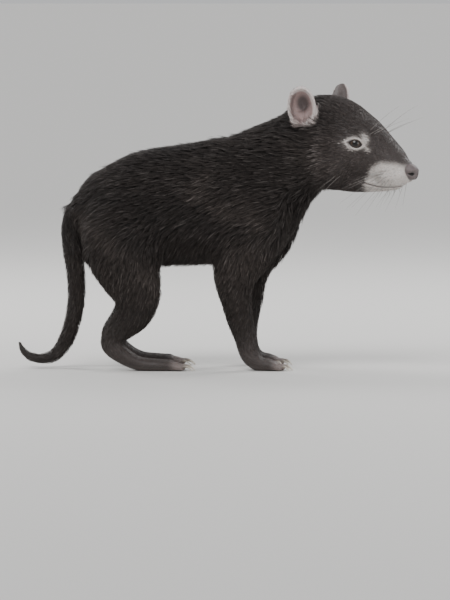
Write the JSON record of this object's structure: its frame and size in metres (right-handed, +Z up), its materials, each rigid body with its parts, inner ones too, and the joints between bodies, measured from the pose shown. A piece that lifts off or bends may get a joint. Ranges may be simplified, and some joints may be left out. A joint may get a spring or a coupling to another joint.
{
  "type": "tasmanian devil model",
  "caption": "Standing Tasmanian devil at life size, black-brown coat with pale muzzle and ears, head turned to its right, still museum model.",
  "frame": {"origin": "middle of the body's length and width, on the floor under the feet", "axes": "+X the way the body faces, +Y its left side, +Z up"},
  "size_m": [0.567, 0.1783, 0.4037],
  "materials": {
    "coat": "dense short black-brown fur",
    "coat_feet": "very short dark fur, paler toes",
    "coat_muzzle": "short pale fur over pinkish skin",
    "ear_skin": "thin pinkish skin with fine hairs",
    "nose_skin": "moist, finely pebbled skin",
    "eye": "dark wet eye",
    "claw": "pale horn"
  },
  "bodies": {
    "root": {"neck": "coat", "chest": "coat", "abdomen": "coat", "rump": "coat", "tail_root": "coat", "tail_middle": "coat", "tail_tip": "coat", "head": "coat", "upper_arm_right": "coat", "forearm_right": "coat", "thigh_right": "coat", "shank_right": "coat", "upper_arm_left": "coat", "forearm_left": "coat", "thigh_left": "coat", "shank_left": "coat", "forepaw_right": "coat_feet", "hindfoot_right": "coat_feet", "forepaw_left": "coat_feet", "hindfoot_left": "coat_feet", "lower_jaw": "coat_muzzle", "ear_right": "ear_skin", "ear_left": "ear_skin", "nose": "nose_skin", "eye_right": "eye", "eye_left": "eye", "claw_fore_right_1": "claw", "claw_fore_right_2": "claw", "claw_fore_right_3": "claw", "claw_fore_right_4": "claw", "claw_fore_right_5": "claw", "claw_hind_right_1": "claw", "claw_hind_right_2": "claw", "claw_hind_right_3": "claw", "claw_hind_right_4": "claw", "claw_fore_left_1": "claw", "claw_fore_left_2": "claw", "claw_fore_left_3": "claw", "claw_fore_left_4": "claw", "claw_fore_left_5": "claw", "claw_hind_left_1": "claw", "claw_hind_left_2": "claw", "claw_hind_left_3": "claw", "claw_hind_left_4": "claw"}
  },
  "joints": []
}
